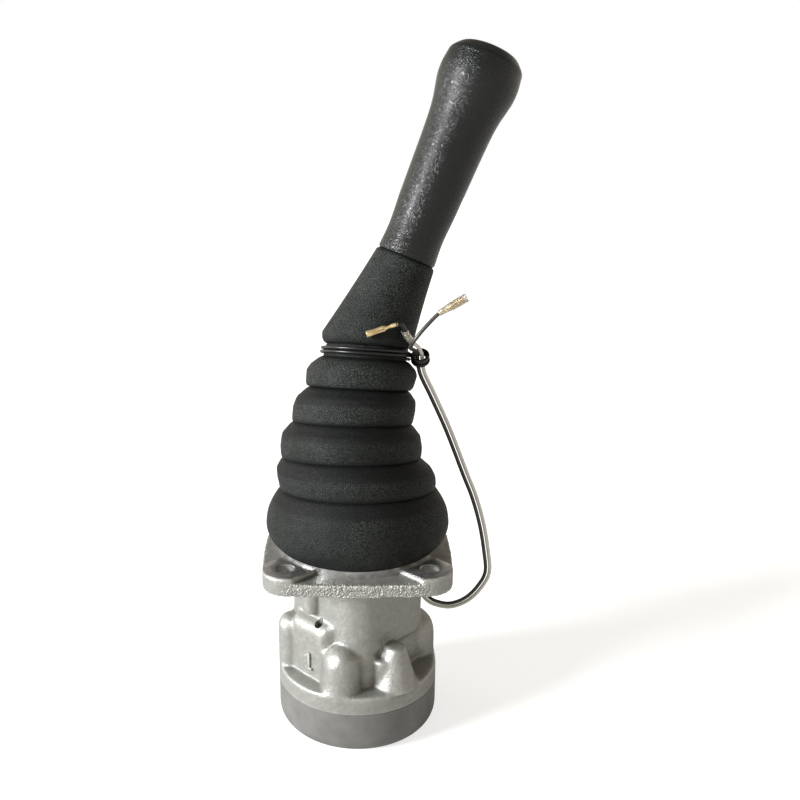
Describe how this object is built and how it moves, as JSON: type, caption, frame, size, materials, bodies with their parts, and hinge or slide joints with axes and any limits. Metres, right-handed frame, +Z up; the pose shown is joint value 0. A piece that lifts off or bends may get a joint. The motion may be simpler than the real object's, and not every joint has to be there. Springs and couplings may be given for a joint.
{
  "type": "hydraulic pilot joystick valve",
  "caption": "Two-axis hand lever on a pilot valve: bent lever, grip with horn button, bellows boot, square flange casing, sprung spools and a ported base plate.",
  "frame": {"origin": "centre of the four flange bolt holes, on the mounting face under the flange", "axes": "+Z up along the casing towards the grip, +X towards the side the lever leans to, +Y away from the operator side seen in front"},
  "size_m": [0.1355, 0.103, 0.3692],
  "materials": {
    "cast_aluminium": "sand-cast, pale grey, machined on the faces",
    "blackened_steel": "blackened socket screws",
    "ground_steel": "ground and hardened",
    "seal_rubber": "moulded nitrile, matt",
    "machined_steel": "turned",
    "plug_brass": "turned",
    "spring_steel": "drawn wire",
    "dark_steel": "forged and oiled",
    "zinc_steel": "yellow zinc plated",
    "boot_rubber": "moulded, fine leather grain, matt",
    "grip_plastic": "moulded, fine leather grain, satin",
    "button_plastic": "moulded, red",
    "switch_plastic": "moulded, black",
    "black_pvc": "extruded, satin black",
    "white_pvc": "extruded, satin white",
    "tie_plastic": "extruded, glossy black",
    "clear_sleeve": "clear soft sleeve over brass",
    "terminal_brass": "stamped, bright"
  },
  "bodies": {
    "root": {"casing": "cast_aluminium", "port_plate": "cast_aluminium", "port_plate_screws": "blackened_steel", "locating_pin": "ground_steel", "port_plate_seals": "seal_rubber", "retaining_plate": "machined_steel", "guide_plug_1": "plug_brass", "guide_plug_2": "plug_brass", "guide_plug_3": "plug_brass", "guide_plug_4": "plug_brass", "plug_o_rings": "seal_rubber", "rod_seals": "seal_rubber", "return_spring_1": "spring_steel", "return_spring_2": "spring_steel", "return_spring_3": "spring_steel", "return_spring_4": "spring_steel", "metering_spring_1": "spring_steel", "metering_spring_2": "spring_steel", "metering_spring_3": "spring_steel", "metering_spring_4": "spring_steel", "lower_yoke": "dark_steel", "bellows_boot": "boot_rubber", "boot_lead": "black_pvc", "grommet": "seal_rubber", "black_wire": "black_pvc", "white_wire": "white_pvc"},
    "cross": {"joint_cross": "dark_steel"},
    "lever": {"upper_yoke": "dark_steel", "swash_disc": "machined_steel", "adjusting_nut": "zinc_steel", "lock_nut": "zinc_steel", "lever_tube": "dark_steel", "boot_sleeve": "boot_rubber", "grip": "grip_plastic", "button_bezel": "switch_plastic", "button_spring": "spring_steel", "horn_switch": "switch_plastic", "lever_lead": "black_pvc", "boot_tie": "tie_plastic", "sleeved_terminal": "clear_sleeve", "open_terminal": "terminal_brass"},
    "button": {"horn_button": "button_plastic"},
    "rod_1": {"push_rod_1": "ground_steel", "spring_seat_1": "machined_steel"},
    "spool_1": {"spool_1": "ground_steel"},
    "rod_2": {"push_rod_2": "ground_steel", "spring_seat_2": "machined_steel"},
    "spool_2": {"spool_2": "ground_steel"},
    "rod_3": {"push_rod_3": "ground_steel", "spring_seat_3": "machined_steel"},
    "spool_3": {"spool_3": "ground_steel"},
    "rod_4": {"push_rod_4": "ground_steel", "spring_seat_4": "machined_steel"},
    "spool_4": {"spool_4": "ground_steel"}
  },
  "joints": [
    {"name": "tilt_fore_aft", "type": "hinge", "parent": "root", "child": "cross", "pos_m": [0, 0, 0.019], "axis": [1, 0, 0], "range_deg": [-19, 19], "stiffness_Nm_per_rad": 8, "deforming": ["bellows_boot", "boot_lead", "black_wire", "white_wire"]},
    {"name": "tilt_side", "type": "hinge", "parent": "cross", "child": "lever", "pos_m": [0, 0, 0.019], "axis": [0, 1, 0], "range_deg": [-19, 19], "stiffness_Nm_per_rad": 8, "deforming": ["bellows_boot", "boot_lead", "black_wire", "white_wire"]},
    {"name": "rod_slide_1", "type": "slide", "parent": "root", "child": "rod_1", "axis": [0, 0, 1], "range_m": [-0.00752, 0.00752], "deforming": ["return_spring_1", "metering_spring_1"]},
    {"name": "spool_slide_1", "type": "slide", "parent": "root", "child": "spool_1", "axis": [0, 0, 1], "range_m": [-0.00152, 0.00152], "deforming": ["metering_spring_1"]},
    {"name": "rod_slide_2", "type": "slide", "parent": "root", "child": "rod_2", "axis": [0, 0, 1], "range_m": [-0.00752, 0.00752], "deforming": ["return_spring_2", "metering_spring_2"]},
    {"name": "spool_slide_2", "type": "slide", "parent": "root", "child": "spool_2", "axis": [0, 0, 1], "range_m": [-0.00152, 0.00152], "deforming": ["metering_spring_2"]},
    {"name": "rod_slide_3", "type": "slide", "parent": "root", "child": "rod_3", "axis": [0, 0, 1], "range_m": [-0.00752, 0.00752], "deforming": ["return_spring_3", "metering_spring_3"]},
    {"name": "spool_slide_3", "type": "slide", "parent": "root", "child": "spool_3", "axis": [0, 0, 1], "range_m": [-0.00152, 0.00152], "deforming": ["metering_spring_3"]},
    {"name": "rod_slide_4", "type": "slide", "parent": "root", "child": "rod_4", "axis": [0, 0, 1], "range_m": [-0.00752, 0.00752], "deforming": ["return_spring_4", "metering_spring_4"]},
    {"name": "spool_slide_4", "type": "slide", "parent": "root", "child": "spool_4", "axis": [0, 0, 1], "range_m": [-0.00152, 0.00152], "deforming": ["metering_spring_4"]},
    {"name": "horn_press", "type": "slide", "parent": "lever", "child": "button", "axis": [-0.3819, -0.1146, -0.9171], "range_m": [0, 0.0015], "stiffness_N_per_m": 400, "deforming": ["button_spring"]}
  ],
  "couplings": [
    {"joint": "rod_slide_1", "follows": "tilt_side", "m_per_rad": -0.0225},
    {"joint": "spool_slide_1", "follows": "tilt_side", "m_per_rad": -0.0045},
    {"joint": "rod_slide_2", "follows": "tilt_fore_aft", "m_per_rad": 0.0225},
    {"joint": "spool_slide_2", "follows": "tilt_fore_aft", "m_per_rad": 0.0045},
    {"joint": "rod_slide_3", "follows": "tilt_side", "m_per_rad": 0.0225},
    {"joint": "spool_slide_3", "follows": "tilt_side", "m_per_rad": 0.0045},
    {"joint": "rod_slide_4", "follows": "tilt_fore_aft", "m_per_rad": -0.0225},
    {"joint": "spool_slide_4", "follows": "tilt_fore_aft", "m_per_rad": -0.0045}
  ]
}
